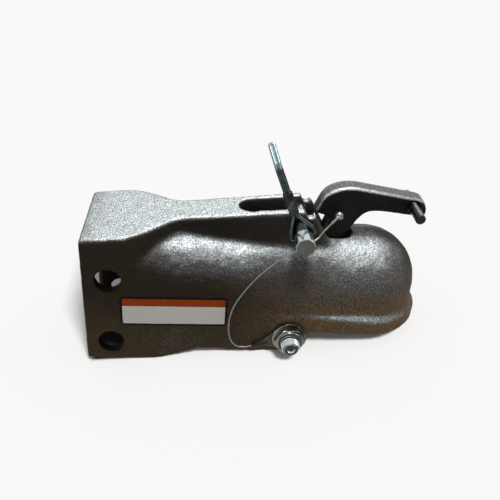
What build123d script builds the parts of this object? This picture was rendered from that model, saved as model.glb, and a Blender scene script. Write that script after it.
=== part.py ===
from build123d import *
import math
import os

os.makedirs("parts", exist_ok=True)

# Ball and shell; the ball centre is the origin, the nose points along +X
ball_diameter = 58.74
ball_clearance = 0.33
shell_wall = 6.8
socket_radius = ball_diameter / 2 + ball_clearance
shell_radius = socket_radius + shell_wall

# Box end
rear_length = 197.2
box_length = 48.0
box_drop = 51.7
box_wall = 8.5
roof_wall = 9.0
top_rear_height = 43.9
top_slope = 0.0975
core_round = 11.0
box_round = 3.0
rear_round = 2.0
channel_hole_diameter = 17.5
channel_hole_spacing = 50.8
channel_hole_setback = 17.2
channel_hole_drop = 11.8

# Barrel, straight over the socket and bending up toward the box
bend_start = 60.0
bend_radius = 403.0

# Spine and cheeks; the shoulders run in from the box end
shoulder_start = rear_length - 29.2
shoulder_middle = rear_length - 45.7
shoulder_half = 27.2
shoulder_end = rear_length - 63.0
shoulder_flare = 9.5
neck_half = 14.4
neck_swell = 0.8
neck_blend = 10.0
bend_angle = math.degrees(math.asin((shoulder_start + 10 - bend_start) / bend_radius))
spine_root = 6.0
top_round = 2.8
upper_foot = 8.0
slot_width = 17.0
slot_rear = 93.2
slot_front = 12.7
cheek_wall = 8.3
cheek_half = slot_width / 2 + cheek_wall
cheek_front = 44.5
cheek_toe = 30.5
cheek_toe_height = 34.0
cheek_round = 6.0
toe_run = 10.0
toe_drop = 24.0
notch_width = 6.2
notch_setback = 46.2
notch_floor = 52.9

# Rim and lower edge
rim_drop = 25.8
rim_radius = 40.8
rim_ridge = 15.0
ridge_round = 3.0
rim_band = 5.5
rim_tail = 85.0
rim_taper = 3.03
rim_slope = 0.048
lower_flat_end = rear_length - 50.2
lower_waist = rear_length - 79.2
lower_waist_drop = 42.0
lower_front = 80.0
lower_front_drop = 44.5
lower_round = 25.0
lower_front_round = 20.0
box_corner_round = 5.0

# Pivot
bolt_diameter = 12.7
bolt_clearance = 0.3
pivot_x = -56.2
pivot_z = -27.3
lug_radius = 14.5
boss_radius = 13.5
boss_face = 38.8
bolt_end = 55.5
bolt_end_chamfer = 1.6
bolt_dish_depth = 1.2
bolt_flats = 19.05
bolt_head_height = 8.0
nut_flats = 19.0
nut_hex_height = 4.4
nut_collar_height = 1.8
nut_collar_setback = 0.9
nut_collar_round = 1.0
washer_radius = 12.0
washer_thickness = 2.2
tab_thickness = 1.5
tab_ring_radius = 11.0
tab_tail_length = 20.0
tab_tail_width = 6.0
tab_tail_angle = 200.0
bush_wall = 1.6
bush_running_clearance = 0.07
bush_stand = 0.2
spacer_radius = 9.2
side_play = 0.3

# Safety pin
pin_diameter = 12.7
pin_clearance = 0.3
pin_x = -51.9
pin_z = 46.7
pin_near_end = 42.4
pin_far_end = 19.5
pin_tip_chamfer = 2.0
pin_end_chamfer = 0.7

# Latch, angles measured round the pivot bolt from vertical toward the nose
# The heel passes over the safety pin, and the lever's outline is measured from the heel's upper end
latch_thickness = 14.0
heel_clearance = 1.0
heel_angle = 10.4
nape_run = 3.8
nape_rise = 9.35
crown_run = 29.5
crown_rise = 19.2
brow_run = 70.3
brow_rise = 12.35
tip_run = 77.3
lip_run = 73.9
lip_rise = -1.15
under_run = 44.3
under_rise = 2.25
neck_rise = 4.5
neck_back_angle = 18.05
neck_front_angle = 30.6
latch_round = 1.6
jaw_width = 34.0
jaw_reach = 49.0
jaw_back_angle = 14.0
jaw_front_angle = 36.0
jaw_lip_x = -24.5
jaw_lip_z = -15.0
eye_radius = 13.0
cross_pin_diameter = 7.0
cross_pin_near_end = 25.5
cross_pin_far_end = 14.0
cross_pin_chamfer = 0.6
cross_pin_run = 67.1
cross_pin_rise = 6.75

# Bail, standing on the pin
bail_wire_diameter = 2.4
bail_hole_clearance = 0.3
bail_offset = 28.5
bail_lean = 22.0
bail_half_span = 8.2
bail_gap = 2.7
bail_shift = -0.65
bail_kink = 53.0
bail_kink_angle = 50.0
bail_end_length = 17.0
sleeve_start = 18.5
sleeve_length = 16.5
sleeve_wall = 0.7
sleeve_chamfer = 0.4

# Lanyard
cable_diameter = 1.2
cable_hole_clearance = 0.3
cable_offset = 39.7
cable_climb = 35.5
crimp_diameter = 3.6
crimp_length = 11.0
crimp_overlap = 4.0
stop_ball_diameter = 6.2
stop_shank_diameter = 2.2
stop_shank_length = 7.0

reach = shell_radius + 20
depth = box_drop + 5
wire_radius = bail_wire_diameter / 2
cable_radius = cable_diameter / 2
bolt_hole_radius = bolt_diameter / 2 + bolt_clearance
heel_radius = math.hypot(pin_x - pivot_x, pin_z - pivot_z) + pin_diameter / 2 + heel_clearance
bend_axis = Axis((-bend_start, 0, bend_radius), (0, 1, 0))
top_plane = Plane(
    origin=(-rear_length, 0, top_rear_height),
    x_dir=(1, 0, top_slope),
    z_dir=(-top_slope, 0, 1),
)
box_plane = Plane(origin=top_plane.origin, x_dir=(0, 1, 0), z_dir=(1, 0, top_slope))
# plane across the pivot bolt and plane across the safety pin, both facing the near side
pivot_plane = Plane(origin=(pivot_x, 0, pivot_z), x_dir=(1, 0, 0), z_dir=(0, -1, 0))
pin_plane = Plane(origin=(pin_x, 0, pin_z), x_dir=(1, 0, 0), z_dir=(0, -1, 0))


def top_at(x):
    return top_rear_height + top_slope * (x + rear_length)


toe_slope = (top_at(-cheek_front) - cheek_toe_height) / (cheek_front - cheek_toe)


def round_pivot(radius, angle):
    turn = math.radians(angle)
    return (pivot_x + radius * math.sin(turn), pivot_z + radius * math.cos(turn))


def from_heel(run, rise):
    heel_end = round_pivot(heel_radius, heel_angle)
    return (heel_end[0] + run, heel_end[1] + rise)


def between(start, end, share):
    return start + share * (end - start)


def arch(radius, foot):
    with BuildLine() as outline:
        left = Line((-radius, foot), (-radius, 0))
        over = ThreePointArc(left @ 1, (0, radius), (radius, 0))
        Polyline(over @ 1, (radius, foot), (-radius, foot))
    make_face(outline.edges())


def dome_half(radius, foot):
    with BuildLine() as outline:
        Polyline((0, radius), (0, foot), (radius, foot), (radius, 0))
        RadiusArc((radius, 0), (0, radius), -radius)
    make_face(outline.edges())


# Lower walls with the flared rim round the socket, trimmed to the lower edge and the pivot lugs
with BuildPart() as skirt:
    ridge_plane = Plane(
        origin=(0, 0, -rim_ridge),
        x_dir=(1, 0, -rim_slope),
        z_dir=(rim_slope, 0, 1),
    )
    taper = math.radians(rim_taper)
    with BuildSketch(ridge_plane) as rim_plan:
        with BuildLine():
            arc_end = (-rim_radius * math.sin(taper), rim_radius * math.cos(taper))
            tail_half = (rim_radius - rim_tail * math.sin(taper)) / math.cos(taper)
            nose = ThreePointArc((arc_end[0], -arc_end[1]), (rim_radius, 0), arc_end)
            Polyline(nose @ 1, (-rim_tail, tail_half), (-rim_tail, -tail_half), nose @ 0)
        make_face()
    extrude(rim_plan.sketch, amount=-box_drop)
    extrude(rim_plan.sketch, amount=rim_band, taper=45)
    ridge = skirt.edges().filter_by(lambda e: abs(ridge_plane.to_local_coords(e.center()).Z) < 0.1)
    fillet(ridge.filter_by(lambda e: e.center().X > 1 - rim_tail), radius=ridge_round)
    with BuildSketch(Plane.XY) as wall_plan:
        with Locations((-rear_length / 2, 0)):
            Rectangle(rear_length, 2 * shell_radius)
        Circle(shell_radius)
    extrude(wall_plan.sketch, amount=-box_drop)
    with BuildSketch(Plane.XZ) as side_profile:
        with BuildLine():
            Polyline(
                (-rear_length, reach),
                (-rear_length, -box_drop),
                (-lower_flat_end, -box_drop),
                (-lower_waist, -lower_waist_drop),
                (-lower_front, -lower_front_drop),
                (pivot_x - 2, pivot_z - lug_radius),
                (pivot_x - 2, -rim_drop),
                (rim_radius + 10, -rim_drop),
                (rim_radius + 10, reach),
                (-rear_length, reach),
            )
        make_face()
        lower = side_profile.vertices().filter_by_position(Axis.Y, -box_drop - 1, -lower_waist_drop + 1)
        fillet(lower.filter_by_position(Axis.X, -lower_flat_end - 1, -lower_waist + 1), radius=lower_round)
        fillet(lower.filter_by_position(Axis.X, -lower_front - 1, -lower_front + 1), radius=lower_front_round)
        fillet(lower.sort_by(Axis.X)[0], radius=box_corner_round)
        with Locations((pivot_x, pivot_z)):
            Circle(lug_radius)
    extrude(side_profile.sketch, amount=reach, both=True, mode=Mode.INTERSECT)

# Spine with the two cheeks, widening over the shoulders to the box, as one bar before the slot is cut
with BuildPart() as spine:
    with BuildSketch(Plane.XY.offset(-upper_foot)) as spine_plan:
        with BuildLine():
            shoulder = Spline(
                (-rear_length, shell_radius + shoulder_flare),
                (-shoulder_start, shell_radius),
                (-shoulder_middle, shoulder_half),
                (-shoulder_end, neck_half + neck_swell),
                (-shoulder_end + neck_blend, neck_half),
                tangents=((1, -0.33), (1, 0.025)),
            )
            cheek = Line(shoulder @ 1, (-toe_run, cheek_half))
            Polyline(cheek @ 1, (-toe_run, 0), (-rear_length, 0), shoulder @ 0)
        make_face()
        mirror(about=Plane.XZ)
    extrude(amount=2 * reach)
    with BuildSketch(Plane.XZ) as spine_side:
        with BuildLine():
            Polyline(
                (-rear_length, -upper_foot),
                (-rear_length, top_at(-rear_length)),
                (-cheek_front, top_at(-cheek_front)),
                (-cheek_toe, cheek_toe_height),
                (-cheek_toe + toe_drop / toe_slope, cheek_toe_height - toe_drop),
                (-cheek_toe + toe_drop / toe_slope, -upper_foot),
                (-rear_length, -upper_foot),
            )
        make_face()
        fillet(spine_side.vertices().sort_by(Axis.Y)[-1], radius=cheek_round)
    extrude(spine_side.sketch, amount=reach, both=True, mode=Mode.INTERSECT)
    toe_face = spine.faces().filter_by(lambda f: f.normal_at().X > 0.5).sort_by(Axis.Z)[-1]
    fillet(toe_face.edges().filter_by(lambda e: abs(e.center().Y) > 1), radius=top_round)

# Hollow inside: socket, barrel and box
with BuildPart() as cavity:
    with BuildSketch(Plane.YZ.offset(-bend_start)) as inner_arch:
        arch(socket_radius, -depth - 20)
    extrude(inner_arch.sketch, amount=bend_start)
    revolve(inner_arch.sketch, axis=bend_axis, revolution_arc=bend_angle)
    with BuildSketch(Plane.XZ) as socket_half:
        dome_half(socket_radius, -depth)
    revolve(socket_half.sketch, axis=Axis.Z)
    split(bisect_by=Plane.YZ.offset(box_length - rear_length), keep=Keep.TOP)
    with BuildSketch(Plane.YZ.offset(-rear_length - 1)) as box_core:
        with Locations((0, (top_rear_height - roof_wall - depth) / 2)):
            Rectangle(2 * (shell_radius - box_wall), top_rear_height - roof_wall + depth)
        fillet(box_core.vertices().group_by(Axis.Y)[-1], radius=core_round)
    extrude(box_core.sketch, amount=box_length + 1)

with BuildPart() as housing:
    with BuildSketch(Plane.YZ.offset(-bend_start)) as outer_arch:
        arch(shell_radius, -reach)
    extrude(outer_arch.sketch, amount=bend_start)
    revolve(outer_arch.sketch, axis=bend_axis, revolution_arc=bend_angle)
    with BuildSketch(Plane.XZ) as shell_half:
        dome_half(shell_radius, -reach)
    revolve(shell_half.sketch, axis=Axis.Z)
    split(bisect_by=Plane.XY.offset(-upper_foot), keep=Keep.TOP)
    split(bisect_by=top_plane, keep=Keep.BOTTOM)
    add(spine.part)
    roots = housing.edges(Select.NEW).filter_by_position(Axis.Z, 1 - upper_foot, top_rear_height - 1)
    fillet(roots, radius=spine_root)
    with BuildSketch(box_plane) as box_end:
        with Locations((0, -reach)):
            Rectangle(2 * shell_radius, 2 * reach)
        fillet(box_end.vertices().group_by(Axis.Y)[-1], radius=box_round)
    extrude(box_end.sketch, amount=2 * rear_length, both=True, mode=Mode.INTERSECT)
    add(skirt.part)
    with BuildSketch(pivot_plane) as boss:
        Circle(boss_radius)
    extrude(boss.sketch, amount=boss_face, both=True)
    add(cavity.part, mode=Mode.SUBTRACT)
    with BuildSketch(Plane.XY) as slot_plan:
        with Locations((-(slot_rear + slot_front) / 2, 0)):
            SlotOverall(slot_rear - slot_front, slot_width)
    extrude(slot_plan.sketch, amount=2 * reach, mode=Mode.SUBTRACT)
    with BuildSketch(Plane.XZ) as side_cuts:
        with Locations((pivot_x, pivot_z)):
            Circle(bolt_hole_radius)
        with Locations((pin_x, pin_z)):
            Circle(pin_diameter / 2 + pin_clearance)
        with Locations((-notch_setback, notch_floor + notch_width / 2)):
            Circle(notch_width / 2)
        with Locations((-notch_setback, notch_floor + notch_width / 2 + 10)):
            Rectangle(notch_width, 20)
        with Locations((channel_hole_setback - rear_length, -channel_hole_drop)):
            with GridLocations(0, channel_hole_spacing, 1, 2):
                Circle(channel_hole_diameter / 2)
    extrude(side_cuts.sketch, amount=reach, both=True, mode=Mode.SUBTRACT)
    rear_edges = housing.faces().sort_by(Axis.X)[0].edges().filter_by(lambda e: e.center().Z > 1 - box_drop)
    fillet(rear_edges, radius=rear_round)
housing.part.label = "housing"
export_step(housing.part, "parts/housing.step")


# the lever's edges above the heel and along the neck's front
def in_the_open(edge):
    away = edge.center() - Vector(pivot_x, edge.center().Y, pivot_z)
    middle = math.radians((neck_back_angle + neck_front_angle) / 2)
    in_front = away.X > away.Z * math.tan(middle) and away.length > 2 * eye_radius
    return away.length > heel_radius + 1 or in_front


# Latch: handle and neck in one plate, with the wider ball jaw and the eye below
eye_bore_radius = bolt_diameter / 2 + bush_running_clearance + bush_wall
with BuildPart() as latch:
    with BuildSketch(Plane.XZ) as lever_outline:
        with BuildLine():
            back = Line(round_pivot(eye_radius, neck_back_angle), round_pivot(heel_radius, neck_back_angle))
            heel = ThreePointArc(
                back @ 1,
                round_pivot(heel_radius, (neck_back_angle + heel_angle) / 2),
                round_pivot(heel_radius, heel_angle),
            )
            nape = Line(heel @ 1, from_heel(nape_run, nape_rise))
            top_fall = (brow_rise - crown_rise) / (brow_run - crown_run)
            crown = Spline(
                nape @ 1,
                from_heel(between(nape_run, crown_run, 0.416), between(nape_rise, crown_rise, 0.924)),
                from_heel(crown_run, crown_rise),
                tangents=(nape % 1, (1, top_fall)),
            )
            brow = Line(crown @ 1, from_heel(brow_run, brow_rise))
            tip = Spline(
                brow @ 1,
                from_heel(between(tip_run, brow_run, 0.17), between(brow_rise, lip_rise, 0.37)),
                from_heel(between(tip_run, brow_run, 0.06), between(brow_rise, lip_rise, 0.82)),
                from_heel(lip_run, lip_rise),
                tangents=((1, top_fall), (-1, 0.15)),
            )
            turn = math.radians(neck_front_angle)
            under = Spline(
                tip @ 1,
                from_heel(between(under_run, lip_run, 0.486), between(under_rise, lip_rise, 0.44)),
                from_heel(under_run, under_rise),
                from_heel(between(under_run, nape_run, 0.242), between(under_rise, lip_rise, 0.53)),
                round_pivot(heel_radius + neck_rise, neck_front_angle),
                tangents=((-1, 0.15), (-math.sin(turn), -math.cos(turn))),
            )
            Polyline(under @ 1, round_pivot(eye_radius, neck_front_angle), back @ 0)
        make_face()
    extrude(amount=latch_thickness / 2, both=True)
    flanks = latch.faces().filter_by(Axis.Y)
    fillet([edge for face in flanks for edge in face.edges() if in_the_open(edge)], radius=latch_round)
    with BuildSketch(Plane.XZ) as jaw_outline:
        with BuildLine():
            jaw_top = ThreePointArc(
                round_pivot(jaw_reach, jaw_back_angle),
                round_pivot(jaw_reach, (jaw_back_angle + jaw_front_angle) / 2),
                round_pivot(jaw_reach, jaw_front_angle),
            )
            Polyline(
                jaw_top @ 1,
                (jaw_lip_x + 4.5, 0),
                (jaw_lip_x, jaw_lip_z),
                (jaw_lip_x - 5.5, jaw_lip_z - 3),
                round_pivot(eye_radius, 160),
                round_pivot(eye_radius, 240),
                round_pivot(eye_radius, 300),
                jaw_top @ 0,
            )
        make_face()
        with Locations((pivot_x, pivot_z)):
            Circle(eye_radius)
    extrude(jaw_outline.sketch, amount=jaw_width / 2, both=True)
    Sphere(socket_radius, mode=Mode.SUBTRACT)
    with BuildSketch(Plane.XZ) as latch_bores:
        with Locations((pivot_x, pivot_z)):
            Circle(eye_bore_radius)
        with Locations(from_heel(cross_pin_run, cross_pin_rise)):
            Circle(cross_pin_diameter / 2)
    extrude(latch_bores.sketch, amount=jaw_width, both=True, mode=Mode.SUBTRACT)
latch.part.label = "latch"
export_step(latch.part, "parts/latch.step")

with BuildPart() as latch_bush:
    with BuildSketch(pivot_plane):
        Circle(eye_bore_radius)
        Circle(eye_bore_radius - bush_wall, mode=Mode.SUBTRACT)
    extrude(amount=jaw_width / 2 + bush_stand, both=True)
latch_bush.part.label = "latch_bush"
export_step(latch_bush.part, "parts/latch_bush.step")

with BuildPart() as latch_cross_pin:
    with BuildSketch(Plane.XZ.offset(-cross_pin_far_end)):
        with Locations(from_heel(cross_pin_run, cross_pin_rise)):
            Circle(cross_pin_diameter / 2)
    extrude(amount=cross_pin_far_end + cross_pin_near_end)
    chamfer(latch_cross_pin.faces().filter_by(Axis.Y).edges(), length=cross_pin_chamfer)
latch_cross_pin.part.label = "latch_cross_pin"
export_step(latch_cross_pin.part, "parts/latch_cross_pin.step")

# Pivot bolt with its spacers, washers and lock nut
head_seat = boss_face + washer_thickness
nut_seat = boss_face + tab_thickness + washer_thickness
spacer_start = jaw_width / 2 + bush_stand + side_play
with BuildPart() as pivot_bolt:
    with BuildSketch(pivot_plane.offset(-head_seat)):
        Circle(bolt_diameter / 2)
    extrude(amount=head_seat + bolt_end)
    chamfer(pivot_bolt.faces().sort_by(Axis.Y)[0].edges(), length=bolt_end_chamfer)
    with BuildSketch(pivot_plane.offset(bolt_end)) as dish:
        Circle(bolt_diameter / 4)
    extrude(dish.sketch, amount=-bolt_dish_depth, taper=40, mode=Mode.SUBTRACT)
    with BuildSketch(pivot_plane.offset(-head_seat - bolt_head_height)) as head:
        RegularPolygon(bolt_flats / 2, 6, major_radius=False)
    extrude(head.sketch, amount=bolt_head_height)
pivot_bolt.part.label = "pivot_bolt"
export_step(pivot_bolt.part, "parts/pivot_bolt.step")

with BuildPart() as pivot_nut:
    with BuildSketch(pivot_plane.offset(nut_seat)):
        RegularPolygon(nut_flats / 2, 6, major_radius=False)
    extrude(amount=nut_hex_height)
    with BuildSketch(pivot_plane.offset(nut_seat + nut_hex_height)):
        Circle(nut_flats / 2 - nut_collar_setback)
    extrude(amount=nut_collar_height)
    fillet(pivot_nut.faces().sort_by(Axis.Y)[0].edges(), radius=nut_collar_round)
    with BuildSketch(pivot_plane.offset(nut_seat)):
        Circle(bolt_diameter / 2)
    extrude(amount=nut_hex_height + nut_collar_height, mode=Mode.SUBTRACT)
pivot_nut.part.label = "pivot_nut"
export_step(pivot_nut.part, "parts/pivot_nut.step")

with BuildPart() as pivot_washer_near:
    with BuildSketch(pivot_plane.offset(boss_face + tab_thickness)):
        Circle(washer_radius)
        Circle(bolt_hole_radius, mode=Mode.SUBTRACT)
    extrude(amount=washer_thickness)
pivot_washer_near.part.label = "pivot_washer_near"
export_step(pivot_washer_near.part, "parts/pivot_washer_near.step")

with BuildPart() as pivot_washer_far:
    with BuildSketch(pivot_plane.offset(-head_seat)):
        Circle(washer_radius)
        Circle(bolt_hole_radius, mode=Mode.SUBTRACT)
    extrude(amount=washer_thickness)
pivot_washer_far.part.label = "pivot_washer_far"
export_step(pivot_washer_far.part, "parts/pivot_washer_far.step")

with BuildPart() as pivot_spacer_near:
    with BuildSketch(pivot_plane.offset(spacer_start)):
        Circle(spacer_radius)
        Circle(bolt_hole_radius, mode=Mode.SUBTRACT)
    extrude(amount=socket_radius - spacer_start)
pivot_spacer_near.part.label = "pivot_spacer_near"
export_step(pivot_spacer_near.part, "parts/pivot_spacer_near.step")

with BuildPart() as pivot_spacer_far:
    with BuildSketch(pivot_plane.offset(-socket_radius)):
        Circle(spacer_radius)
        Circle(bolt_hole_radius, mode=Mode.SUBTRACT)
    extrude(amount=socket_radius - spacer_start)
pivot_spacer_far.part.label = "pivot_spacer_far"
export_step(pivot_spacer_far.part, "parts/pivot_spacer_far.step")

# Safety pin with cross holes for the bail and the lanyard
lean = math.radians(bail_lean)
climb = math.radians(cable_climb)
bail_axis = Vector(math.cos(lean), 0, math.sin(lean))
cable_axis = Vector(math.cos(climb), 0, math.sin(climb))
cable_point = Vector(pin_x, -cable_offset, pin_z)
with BuildPart() as safety_pin:
    with BuildSketch(pin_plane.offset(-pin_far_end)):
        Circle(pin_diameter / 2)
    extrude(amount=pin_far_end + pin_near_end)
    chamfer(safety_pin.faces().sort_by(Axis.Y)[-1].edges(), length=pin_tip_chamfer)
    chamfer(safety_pin.faces().sort_by(Axis.Y)[0].edges(), length=pin_end_chamfer)
    with BuildSketch(Plane(origin=(pin_x, -bail_offset, pin_z), z_dir=bail_axis)):
        Circle(wire_radius + bail_hole_clearance)
    extrude(amount=pin_diameter, both=True, mode=Mode.SUBTRACT)
    with BuildSketch(Plane(origin=cable_point, z_dir=cable_axis)):
        Circle(cable_radius + cable_hole_clearance)
    extrude(amount=pin_diameter, both=True, mode=Mode.SUBTRACT)
safety_pin.part.label = "safety_pin"
export_step(safety_pin.part, "parts/safety_pin.step")

# Bail: one wire, both ends in the pin's cross hole, the hairpin end bent in over the cheeks
bail_plane = Plane(origin=(pin_x, -bail_offset, pin_z), x_dir=bail_axis, z_dir=(0, -1, 0))
kink = math.radians(bail_kink_angle)
left_wire = bail_shift - bail_gap / 2
right_wire = bail_shift + bail_gap / 2
tip_rise = bail_kink + bail_end_length * math.cos(kink)
tip_bend = -bail_end_length * math.sin(kink)
bail_points = [
    (-2, 0, 0),
    (-bail_half_span, 0, 0),
    (1.3 - bail_half_span, 6.5, 0),
    (left_wire, sleeve_start - 1.5, 0),
    (left_wire, bail_kink, 0),
    (left_wire, tip_rise, tip_bend),
    (right_wire, tip_rise, tip_bend),
    (right_wire, bail_kink, 0),
    (right_wire, sleeve_start - 1.5, 0),
    (bail_half_span - 0.2, 5, 0),
    (bail_half_span, 0, 0),
    (2, 0, 0),
]
turn_back = 0.48 * bail_gap
with BuildPart() as bail_wire:
    with BuildLine() as bail_path:
        FilletPolyline(
            *[bail_plane.from_local_coords(point) for point in bail_points],
            radius=[2, 5, 5, 6, turn_back, turn_back, 6, 5, 5, 2],
        )
    with BuildSketch(Plane(origin=bail_path.line @ 0, z_dir=bail_path.line % 0)):
        Circle(wire_radius)
    sweep()
bail_wire.part.label = "bail_wire"
export_step(bail_wire.part, "parts/bail_wire.step")

with BuildPart() as bail_sleeve:
    sleeve_foot = bail_plane.from_local_coords((bail_shift, sleeve_start, 0))
    with BuildSketch(Plane(origin=sleeve_foot, x_dir=bail_axis, z_dir=bail_plane.y_dir)):
        SlotOverall(bail_gap + bail_wire_diameter + 2 * sleeve_wall, bail_wire_diameter + 2 * sleeve_wall)
    extrude(amount=sleeve_length)
    ends = bail_sleeve.faces().filter_by(lambda f: f.normal_at().cross(bail_plane.y_dir).length < 0.01)
    chamfer(ends.edges(), length=sleeve_chamfer)
    with BuildSketch(Plane(origin=sleeve_foot, x_dir=bail_axis, z_dir=bail_plane.y_dir)):
        with GridLocations(bail_gap, 0, 2, 1):
            Circle(wire_radius)
    extrude(amount=sleeve_length, mode=Mode.SUBTRACT)
bail_sleeve.part.label = "bail_sleeve"
export_step(bail_sleeve.part, "parts/bail_sleeve.step")

# Lanyard: tab under the nut, crimp on its tail, wire to the safety pin, ball on the wire's end
tail = math.radians(tab_tail_angle)
tail_dir = Vector(math.cos(tail), 0, math.sin(tail))
tail_root = Vector(pivot_x, -boss_face - tab_thickness / 2, pivot_z)
crimp_start = tab_tail_length - crimp_overlap
crimp_plane = Plane(origin=tail_root + tail_dir * crimp_start, z_dir=tail_dir)
with BuildPart() as lanyard_tab:
    with BuildSketch(pivot_plane.offset(boss_face)):
        Circle(tab_ring_radius)
        with PolarLocations(tab_tail_length - tab_tail_width / 2, 1, start_angle=tab_tail_angle):
            Circle(tab_tail_width / 2)
        make_hull()
        Circle(bolt_hole_radius, mode=Mode.SUBTRACT)
    extrude(amount=tab_thickness)
lanyard_tab.part.label = "lanyard_tab"
export_step(lanyard_tab.part, "parts/lanyard_tab.step")

with BuildPart() as lanyard_crimp:
    with BuildSketch(crimp_plane):
        Circle(crimp_diameter / 2)
    extrude(amount=crimp_length)
    add(lanyard_tab.part, mode=Mode.SUBTRACT)
lanyard_crimp.part.label = "lanyard_crimp"
export_step(lanyard_crimp.part, "parts/lanyard_crimp.step")

cable_start = tail_root + tail_dir * (crimp_start + crimp_length)
cable_points = [
    cable_start,
    cable_start + tail_dir * 9,
    Vector(-97.8, -cable_offset, -32),
    Vector(-99.3, -cable_offset, -15),
    Vector(-94.8, -cable_offset, 2.5),
    cable_point - cable_axis * 29.6,
    cable_point,
]
end_points = [
    cable_point,
    cable_point + cable_axis * 9.5,
    Vector(-40, -29.5, 50.6),
    Vector(-32, -19.3, 52.4),
]


def bend_radii(points):
    radii = []
    for before, corner, after in zip(points, points[1:], points[2:]):
        run_in = corner - before
        run_out = after - corner
        half_turn = math.radians(run_in.get_angle(run_out)) / 2
        radii.append(0.45 * min(run_in.length, run_out.length) / math.tan(half_turn))
    return radii


print("cable radii", [round(r, 1) for r in bend_radii(cable_points)])
print("end radii", [round(r, 1) for r in bend_radii(end_points)])
with BuildPart() as lanyard_cable:
    with BuildLine() as cable_path:
        FilletPolyline(*cable_points, radius=bend_radii(cable_points))
    with BuildSketch(Plane(origin=cable_path.line @ 0, z_dir=cable_path.line % 0)):
        Circle(cable_radius)
    sweep()
lanyard_cable.part.label = "lanyard_cable"
export_step(lanyard_cable.part, "parts/lanyard_cable.step")

with BuildPart() as lanyard_end:
    with BuildLine() as end_path:
        FilletPolyline(*end_points, radius=bend_radii(end_points))
    with BuildSketch(Plane(origin=end_path.line @ 0, z_dir=end_path.line % 0)):
        Circle(cable_radius)
    sweep()
lanyard_end.part.label = "lanyard_end"
export_step(lanyard_end.part, "parts/lanyard_end.step")

with BuildPart() as lanyard_ball:
    shank_plane = Plane(origin=end_path.line @ 1, z_dir=end_path.line % 1)
    with BuildSketch(shank_plane):
        Circle(stop_shank_diameter / 2)
    extrude(amount=stop_shank_length + stop_ball_diameter / 2)
    with Locations(shank_plane.offset(stop_shank_length + stop_ball_diameter / 2)):
        Sphere(stop_ball_diameter / 2)
lanyard_ball.part.label = "lanyard_ball"
export_step(lanyard_ball.part, "parts/lanyard_ball.step")
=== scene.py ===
import math

import bpy
from mathutils import Matrix, Vector


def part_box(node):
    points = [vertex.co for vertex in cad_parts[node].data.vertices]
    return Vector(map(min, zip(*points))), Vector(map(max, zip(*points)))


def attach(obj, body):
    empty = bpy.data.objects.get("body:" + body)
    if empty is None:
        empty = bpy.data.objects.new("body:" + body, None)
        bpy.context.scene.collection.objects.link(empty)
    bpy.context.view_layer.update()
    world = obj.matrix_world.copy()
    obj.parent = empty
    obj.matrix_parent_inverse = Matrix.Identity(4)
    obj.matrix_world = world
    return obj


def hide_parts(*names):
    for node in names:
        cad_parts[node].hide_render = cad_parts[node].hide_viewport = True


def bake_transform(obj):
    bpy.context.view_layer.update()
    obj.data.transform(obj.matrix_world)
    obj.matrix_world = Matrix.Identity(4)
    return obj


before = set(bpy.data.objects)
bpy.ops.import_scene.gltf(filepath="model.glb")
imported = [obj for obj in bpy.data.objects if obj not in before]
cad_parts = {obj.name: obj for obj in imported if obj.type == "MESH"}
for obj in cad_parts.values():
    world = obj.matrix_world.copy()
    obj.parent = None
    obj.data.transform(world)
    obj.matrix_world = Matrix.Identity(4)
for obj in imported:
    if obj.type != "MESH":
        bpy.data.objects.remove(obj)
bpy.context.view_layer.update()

bl_info = {
    "name": "Trailer Coupling Head",
    "version": (1, 1, 0),
    "blender": (4, 5, 0),
    "location": "View3D > Sidebar > Coupling",
    "description": "Finishes a cast coupling head: skins, plated hardware, lanyard, blank label and studio",
    "category": "Object",
}

MM = 0.001
X, Y, Z = range(3)
SMOOTH_ANGLE = math.radians(30)

# The lanyard's route from the crimp through the safety pin to the ball, in millimetres
LANYARD_ROUTE = (
    (-81.572, -39.55, -36.535),
    (-90.029, -39.55, -39.613),
    (-97.8, -39.7, -32),
    (-99.3, -39.7, -15),
    (-94.8, -39.7, 2.5),
    (-75.998, -39.7, 29.511),
    (-51.9, -39.7, 46.7),
    (-44.166, -39.7, 52.217),
    (-40, -29.5, 50.6),
    (-32, -19.3, 52.4),
)

# Where the casting's finish, painted light and shade included, changes from none of a zone to all of it, in
# millimetres
CAST_ZONES = {
    "past_rear_face": (-195.5, -193.5),
    "rear": (-178, -198),
    "ahead_of_box": (-165, -155),
    "flare_rear": (-168, -152),
    "flare_front": (-116, -134),
    "shade_rear": (-168, -140),
    "barrel_rear": (-160, -135),
    "barrel_front": (-66, -92),
    "nose": (-115, -20),
    "dome": (-45, -15),
    "roof": (18, 26),
    "under_spine": (41, 35),
    "upper_wall": (4, 26),
    "foot": (8, -35),
    "nose_foot": (12, -12),
    "between_walls": (36.2, 34.8),
}

# The middle of the painted shadow ring round the safety pin, along Y
PIN_SHADOW_MIDDLE = -23 * MM

# The blank label's middle and half size on the near wall
LABEL_MIDDLE = Vector((-136.3, -38.5, -9.9)) * MM
LABEL_HALF = Vector((36.3, 0, 11.8)) * MM

# The floor's place under the box's foot, and how far it rises over a run toward the nose
FLOOR_SPOT = Vector((-147, 0, -51.9)) * MM
FLOOR_RISE = 9.9 * MM
FLOOR_RUN = 91 * MM

# The way the floor's sun shines, the point that the lamps face, and each lamp's place and size, in metres
SUN_AHEAD = Vector((-0.21, 0.7, -1))
LAMP_AIM = Vector((-0.08, 0, 0))
LAMPS = {
    "overhead": (Vector((-0.05, 0.05, 0.97)), 0.25),
    "front_fill": (Vector((-0.35, -0.9, 0.5)), 0.8),
    "nose_side": (Vector((0.7, -0.25, 0.5)), 0.5),
}

# The camera's place in metres, and the directions to its right and ahead of it
CAMERA_SPOT = Vector((-0.1205, -0.3916, 0.2594))
CAMERA_RIGHT = Vector((0.9966, -0.0567, 0.0593))
CAMERA_AHEAD = Vector((0.0794, 0.8488, -0.5228))


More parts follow.
